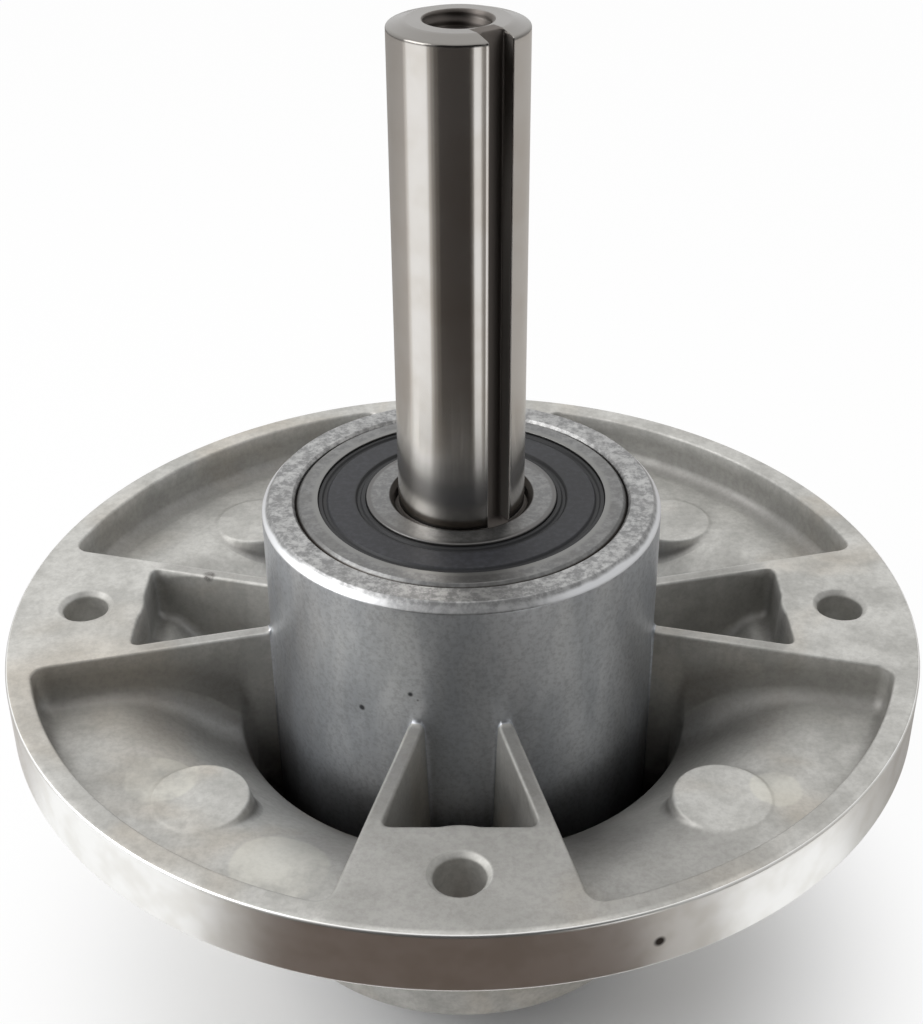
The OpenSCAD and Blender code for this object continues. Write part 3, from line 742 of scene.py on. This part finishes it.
def turned_aluminium():
    """The casting where it was turned on a lathe, on the rim's side and on the chamfers: bright,
    with fine lines round it."""
    material, tree, shader, place = new_material("turned_aluminium", 1.0)
    lines = add(tree, "ShaderNodeTexNoise", {"Vector": place, "Scale": per_mm(6), "Detail": 2.0}).outputs[0]
    colour = blend(tree, stretch(tree, lines, 0.35, 0.7, 0.0, 1.0), linear("#fafaf8"), linear("#efeeea"))
    pit = spot(tree, place, (31.0, -80.9, 76.0), 1.3, 0.8)
    colour = blend(tree, pit, colour, linear("#3f3a37"))
    tree.links.new(colour, shader.inputs["Base Color"])
    shader.inputs["Roughness"].default_value = 0.32
    return material


def faced_aluminium():
    """The casting's upper face, faced on a lathe and then dulled by handling: mid grey, with darker
    and lighter specks about a millimetre wide."""
    material, tree, shader, place = new_material("faced_aluminium", 1.0)
    specks = noise(tree, place, 1.4, 3.0, 0.7)
    cloud = noise(tree, place, 11, 3.0, 0.6)
    colour = blend(tree, stretch(tree, specks, 0.36, 0.66), linear("#868686"), linear("#b9b9b8"))
    colour = blend(tree, stretch(tree, cloud, 0.4, 0.7, 0.0, 0.35), colour, linear("#8a8988"))
    tree.links.new(colour, shader.inputs["Base Color"])
    shader.inputs["Roughness"].default_value = 0.45
    uneven(tree, shader, (specks, 0.03, 0.5))
    return material


def bearing_steel():
    """Hardened bearing steel with ground faces and turned chamfers: satin grey with fine darker
    specks of old grease, a little lighter beside the seal, with painted shade in the gap outside, at the bore's chamfer
    and at the inner ring's edge beside the seal."""
    material, tree, shader, place = new_material("ground_bearing_steel", 1.0)
    specks = noise(tree, place, 1.2, 3.0, 0.7)
    cloud = noise(tree, place, 8, 3.0, 0.6)
    colour = blend(tree, stretch(tree, specks, 0.36, 0.66), linear("#757575"), linear("#898988"))
    colour = blend(tree, stretch(tree, cloud, 0.42, 0.7, 0.0, 0.5), colour, linear("#6a6967"))
    radius = distance_from_axis(tree, place)
    inner_edge = masked(tree, stretch(tree, radius, 0.0266, 0.0268), stretch(tree, radius, 0.0281, 0.0273))
    # Painted shade: a darker line at the inner ring's edge beside the seal.
    land_edge = masked(tree, stretch(tree, radius, 0.0166, 0.0171), stretch(tree, radius, 0.0179, 0.01783))
    colour = blend(tree, inner_edge, colour, linear("#868684"))
    colour = blend(tree, land_edge, colour, linear("#6c6b6a"))
    # Painted shade in the gap outside the outer ring and at the inner ring's bore chamfer.
    gap = stretch(tree, radius, 0.03035, 0.03065)
    foot = stretch(tree, radius, 0.0136, 0.0133)
    dark = add(tree, "ShaderNodeMath", {0: gap, 1: foot}, operation="MAXIMUM").outputs[0]
    colour = blend(tree, dark, colour, linear("#332f2b"))
    tree.links.new(colour, shader.inputs["Base Color"])
    shader.inputs["Roughness"].default_value = 0.42
    uneven(tree, shader, (specks, 0.02, 0.4))
    return material


def seal_rubber():
    """Moulded nitrile rubber: blue-black and matt, greyed by fine dust in small specks, with painted shade
    in the grooves at the lip and at the bead."""
    material, tree, shader, place = new_material("moulded_nitrile_rubber", 0.0, Roughness=0.55)
    specks = noise(tree, place, 1.2, 3.0, 0.7)
    radius = distance_from_axis(tree, place)
    colour = blend(tree, stretch(tree, specks, 0.4, 0.7), linear("#1d1e23"), linear("#2b2c32"))
    # Painted shade: darker over the grooves at the lip and at the bead, towards the rings.
    lip = stretch(tree, radius, 0.0202, 0.0196)
    bead = stretch(tree, radius, 0.0247, 0.0251)
    groove = add(tree, "ShaderNodeMath", {0: lip, 1: bead}, operation="MAXIMUM").outputs[0]
    colour = blend(tree, groove, colour, linear("#131417"))
    tree.links.new(colour, shader.inputs["Base Color"])
    uneven(tree, shader, (specks, 0.02, 0.4))
    return material


def ground_steel():
    """Carbon steel bar, turned and then ground: bright, with grinding lines round it that smear
    what it mirrors up and down, a thin brown film, and the keyway, tapped hole and foot inside the bearing darker and
    rougher, as oily metal with painted shade."""
    material, tree, shader, place = new_material("ground_shaft_steel", 1.0, Anisotropic=0.9, Anisotropic_Rotation=0.25)
    around = add(tree, "ShaderNodeTangent", direction_type="RADIAL", axis="Z")
    tree.links.new(around.outputs[0], shader.inputs["Tangent"])
    radius = distance_from_axis(tree, place)
    turned = add(tree, "ShaderNodeVectorRotate", {"Vector": place, "Angle": -KEY_TURN}, rotation_type="Z_AXIS")
    at_key = add(tree, "ShaderNodeSeparateXYZ", {0: turned.outputs[0]}).outputs
    beside = add(tree, "ShaderNodeMath", {0: at_key["Y"]}, operation="ABSOLUTE").outputs[0]
    in_key = masked(tree, stretch(tree, beside, 0.00246, 0.00238), stretch(tree, at_key["X"], 0.006, 0.0062),
                    stretch(tree, radius, 0.01145, 0.01125))
    in_bore = stretch(tree, radius, 0.0062, 0.0058)
    on_end = stretch(tree, at_key["Z"], 0.1947, 0.195)
    colour = blend(tree, stretch(tree, noise(tree, place, 14), 0.35, 0.7, 0.0, 0.6), linear("#dedbd7"), linear("#cdc6bd"))
    colour = blend(tree, on_end, colour, linear("#8a8783"))
    # Oily metal with painted shade: darker and rougher in the keyway, the tapped hole and at the foot inside the
    # bearing.
    oil_and_shade = add(tree, "ShaderNodeMath", {0: in_key, 1: in_bore}, operation="MAXIMUM").outputs[0]
    at_foot = masked(tree, stretch(tree, at_key["Z"], 0.1078, 0.1072), stretch(tree, at_key["Z"], 0.1, 0.101))
    oil_and_shade = add(tree, "ShaderNodeMath", {0: oil_and_shade, 1: at_foot}, operation="MAXIMUM").outputs[0]
    colour = blend(tree, oil_and_shade, colour, linear("#857f7a"))
    tree.links.new(colour, shader.inputs["Base Color"])
    tree.links.new(stretch(tree, oil_and_shade, 0.0, 1.0, 0.17, 0.6), shader.inputs["Roughness"])
    return material


def plain_steel(name, dark, light, lump, roughness):
    """Bare steel with a thin film of grease: two tones in soft lumps of a size in millimetres, and
    the roughness that its making leaves."""
    material, tree, shader, place = new_material(name, 1.0, Roughness=roughness)
    film = noise(tree, place, lump)
    tree.links.new(blend(tree, stretch(tree, film, 0.35, 0.68), linear(dark), linear(light)), shader.inputs["Base Color"])
    uneven(tree, shader, (film, 0.01, 0.4))
    return material


CAST = cast_aluminium()
HUB = blasted_aluminium()
TURNED = turned_aluminium()
STEEL = ground_steel()
FACED = faced_aluminium()
CHAMFER = chamfer_aluminium_painted_highlight()
RING = bearing_steel()
RUBBER = seal_rubber()
# Seamless steel tube, drawn and cut on a lathe: plain grey with a dull shine
TUBE = plain_steel("drawn_steel_tube", "#8f8d8a", "#a9a7a3", 6, 0.38)
# Chrome bearing steel, hardened, ground and lapped: a near mirror
BALL = plain_steel("lapped_ball_steel", "#c9c9c9", "#d6d6d6", 5, 0.06)
# Cold-rolled strip, pressed to shape and tumbled: soft grey, slightly warm
CAGE = plain_steel("pressed_strip_steel", "#97928a", "#aba69d", 4, 0.34)
# Thin sheet, stamped to a flat ring: plain cool grey with a faint mottle
PLATE = plain_steel("stamped_sheet_steel", "#868a8c", "#9ca0a2", 3, 0.42)

# Pieces

points, quads, shade_and_dirt = housing_surface()
casting = make_piece("cast_housing", points, quads, CAST, "housing", ["housing"], shade_and_dirt=shade_and_dirt)
for material in (HUB, TURNED, FACED, CHAMFER):
    casting.data.materials.append(material)
faces = casting.data.polygons
centre, normal = np.empty((2, len(faces) * 3), np.float32)
faces.foreach_get("center", centre)
faces.foreach_get("normal", normal)
centre, normal = centre.reshape(-1, 3) / MM, normal.reshape(-1, 3)
r, level = np.hypot(centre[:, 0], centre[:, 1]), centre[:, 2] - FACE_Z
faced = (level > 24.8) & ((normal[:, 2] > 0.9) | (r < 31.6))
kinds = [faced, (level > 23.8) & (r > 34), r > FLANGE_R - 0.3, (r < HUB_R + 0.6) & (level < 23.8)]
faces.foreach_set("material_index", np.select(kinds, [3, 4, 2, 1], 0).astype(np.int32))
points, quads, caps = shaft_surface()
make_piece("keyed_shaft", points, quads, STEEL, "rotor", ["shaft"], caps)
for level, z, outward in (("upper", 100.0, False), ("lower", 22.5, True)):
    points, quads = outer_ring()
    make_piece(f"{level}_bearing_outer_ring", placed(points, z), quads, RING, "housing", [f"{level}_outer_ring"])
    points, quads = inner_ring()
    make_piece(f"{level}_bearing_inner_ring", placed(points, z), quads, RING, "rotor", [f"{level}_inner_ring"])
    points, quads = seal()
    make_piece(f"{level}_bearing_seal", placed(points, z, outward), quads, RUBBER, "housing", [f"{level}_seal_outside"])

FINISHES = {"plate": PLATE, "seal": RUBBER, "balls": BALL, "cage": CAGE, "spacer": TUBE, "ring": RING}
for name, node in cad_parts.items():
    kind = next((kind for kind in FINISHES if kind in name), None)
    if kind:
        node.data.materials.clear()
        node.data.materials.append(FINISHES[kind])

# Camera, light and background

scene = bpy.context.scene
scene.view_settings.view_transform = "Standard"
camera_data = bpy.data.cameras.new("camera")
camera = bpy.data.objects.new("camera", camera_data)
scene.collection.objects.link(camera)
scene.camera = camera
camera_data.sensor_fit = "VERTICAL"
camera_data.sensor_height = 36.0
camera_data.lens = 1662.95 * 36.0 / 1024
camera_data.clip_start = 0.01
camera_data.clip_end = 20


def aim_camera(distance, height, pitch, roll, yaw):
    """Camera at a distance in front of the axis, looking down by pitch, with the whole view turned
    about the shaft by yaw."""
    p, q, w = np.radians([pitch, roll, yaw])
    forward = np.array([0, np.cos(p), -np.sin(p)])
    right = np.array([1.0, 0, 0])
    up = np.cross(right, forward)
    right, up = np.cos(q) * right + np.sin(q) * up, np.cos(q) * up - np.sin(q) * right
    place = np.array([0, -distance, height + FACE_Z]) * MM
    turn = np.array([[np.cos(w), -np.sin(w), 0], [np.sin(w), np.cos(w), 0], [0, 0, 1]])
    right, up, forward, place = turn @ right, turn @ up, turn @ forward, turn @ place
    matrix = np.eye(4)
    matrix[:3, 0], matrix[:3, 1], matrix[:3, 2], matrix[:3, 3] = right, up, -forward, place
    return matrix


camera.matrix_world = Matrix(aim_camera(265.13, 185.26, 31.74, -0.372, 0.5).tolist())

FRONT_DARK = 0.04
SKY_LOW = 0.5
SKY_HIGH = 1.1


def studio_world():
    """White room, darker on the side that the camera stands on, and plain white behind the floor."""
    world = bpy.data.worlds.new("studio")
    scene.world = world
    world.use_nodes = True
    tree = world.node_tree
    tree.nodes.clear()
    toward = add(tree, "ShaderNodeTexCoord").outputs["Generated"]
    level = add(tree, "ShaderNodeVectorMath", {0: toward, 1: (1.0, 1.0, 0.0)}, operation="MULTIPLY").outputs[0]
    level = add(tree, "ShaderNodeVectorMath", {0: level}, operation="NORMALIZE").outputs[0]
    facing = add(tree, "ShaderNodeVectorMath", {0: level, 1: (0.05, -0.99, 0.0)}, operation="DOT_PRODUCT").outputs["Value"]
    up = add(tree, "ShaderNodeSeparateXYZ", {0: toward}).outputs["Z"]
    dark = add(tree, "ShaderNodeMath", {0: stretch(tree, facing, 0.68, 0.84), 1: stretch(tree, up, 0.95, 0.7)},
               operation="MULTIPLY").outputs[0]
    above = add(tree, "ShaderNodeVectorMath", {0: toward, 1: (-0.2, 0.5, 0.84)}, operation="DOT_PRODUCT").outputs["Value"]
    sky = stretch(tree, above, -0.1, 0.95, SKY_LOW, SKY_HIGH)
    strength = add(tree, "ShaderNodeMix", {0: dark, 2: sky, 3: FRONT_DARK}).outputs[0]
    ray = add(tree, "ShaderNodeLightPath")
    seen = add(tree, "ShaderNodeBackground", {"Color": (1, 1, 1, 1), "Strength": 1.0})
    light = add(tree, "ShaderNodeBackground", {"Color": (1, 1, 1, 1), "Strength": strength})
    mix = add(tree, "ShaderNodeMixShader", {0: ray.outputs["Is Camera Ray"], 1: light.outputs[0], 2: seen.outputs[0]})
    add(tree, "ShaderNodeOutputWorld", {"Surface": mix.outputs[0]})


def stage_sheet(name, points, faces, material, only_mirrored=False):
    """Flat sheet that belongs to the studio."""
    mesh = bpy.data.meshes.new(name)
    mesh.from_pydata((np.array(points, float) * MM).tolist(), [], faces)
    mesh.materials.append(material)
    sheet = bpy.data.objects.new(name, mesh)
    scene.collection.objects.link(sheet)
    if only_mirrored:
        sheet.visible_camera = False
        sheet.visible_diffuse = False
        sheet.visible_shadow = False
    return sheet


def floor_material():
    """White studio paper. What the camera and the metal see of it is mostly plain white away from
    the object, which keeps its shadow but makes it light. From below the camera sees through it."""
    material = bpy.data.materials.new("white_paper_floor")
    material.use_nodes = True
    tree = material.node_tree
    tree.nodes.clear()
    ray = add(tree, "ShaderNodeLightPath")
    paper = add(tree, "ShaderNodeBsdfDiffuse", {"Color": linear("#f6f6f6")})
    white = add(tree, "ShaderNodeEmission", {"Color": (1, 1, 1, 1), "Strength": 1.0})
    seen = add(tree, "ShaderNodeMath", {0: ray.outputs["Is Camera Ray"], 1: ray.outputs["Is Glossy Ray"]}, operation="MAXIMUM")
    seen = add(tree, "ShaderNodeMath", {0: seen.outputs[0], 1: ray.outputs["Is Transmission Ray"]}, operation="MAXIMUM")
    beside = distance_from_axis(tree, add(tree, "ShaderNodeTexCoord").outputs["Object"])
    share = masked(tree, seen.outputs[0], stretch(tree, beside, 0.05, 0.11, 0.0, 0.93))
    mix = add(tree, "ShaderNodeMixShader", {0: share, 1: paper.outputs[0], 2: white.outputs[0]})
    below = masked(tree, add(tree, "ShaderNodeNewGeometry").outputs["Backfacing"], ray.outputs["Is Camera Ray"])
    clear = add(tree, "ShaderNodeBsdfTransparent")
    mix = add(tree, "ShaderNodeMixShader", {0: below, 1: mix.outputs[0], 2: clear.outputs[0]})
    add(tree, "ShaderNodeOutputMaterial", {"Surface": mix.outputs[0]})
    return material


def card_material(name, tone):
    """Dark or grey card on the floor, which metal mirrors as a darker band."""
    material = bpy.data.materials.new(name)
    material.use_nodes = True
    material.node_tree.nodes["Principled BSDF"].inputs["Base Color"].default_value = linear(tone)
    material.node_tree.nodes["Principled BSDF"].inputs["Roughness"].default_value = 0.9
    return material


studio_world()
span = 3000
stage_sheet("floor", [(-span, -span, 0), (span, -span, 0), (span, span, 0), (-span, span, 0)], [(0, 1, 2, 3)], floor_material())
# Cards around the object in two rings, each with its near and far radius. Each step gives the angle
# from the front, counted to the right, at which a card begins, and its tone. None is bare floor.
CARD_RINGS = (
    (100, 215, (
        (-140, "#b0aca8"), (-112, "#b4b0ac"), (-96, None), (-46, "#a8a4a0"), (-37, "#574a42"), (33, "#b8b4b0"),
        (48, None), (80, "#ccc9c5"), (95, "#aca8a4"), (135, None))),
    (215, 2500, (
        (-180, "#a09c98"), (-96, "#c4c0bc"), (-90, None), (-50, "#aaa6a1"), (-45, "#77736e"), (-39, "#4c4742"),
        (-32, "#2c2622"), (18, "#4c4742"), (21, "#85817c"), (24, None), (36, "#b4b0ab"), (39, "#8f8b87"),
        (60, "#c0bcb8"), (180, None))))
for near, far, steps in CARD_RINGS:
    for (left, tone), (right, _) in zip(steps, steps[1:]):
        if tone is None:
            continue
        name = f"card_{near}_{left + 180}"
        fan = np.radians(np.linspace(left - 90, right - 90, 12))
        fan_points = [(q * np.cos(t), q * np.sin(t), 0.5) for q in (near, far) for t in fan]
        fan_faces = [(k, k + 12, k + 13, k + 1) for k in range(11)]
        stage_sheet(name, fan_points, fan_faces, card_material(name, tone), only_mirrored=True)


def soft_lamp(name, place, target, size, power):
    """Square soft lamp at a place in millimetres, facing a target."""
    data = bpy.data.lights.new(name, "AREA")
    data.size = size * MM
    data.energy = power
    lamp = bpy.data.objects.new(name, data)
    scene.collection.objects.link(lamp)
    z = np.array(place, float) - target
    z /= np.linalg.norm(z)
    x = np.cross([0, 0, 1], z)
    x /= np.linalg.norm(x)
    matrix = np.eye(4)
    matrix[:3, 0], matrix[:3, 1], matrix[:3, 2], matrix[:3, 3] = x, np.cross(z, x), z, np.array(place) * MM
    lamp.matrix_world = Matrix(matrix.tolist())
    return lamp


soft_lamp("left_lamp", (-500, -150, 450), np.array([0, 0, 90]), 400, 2.0)
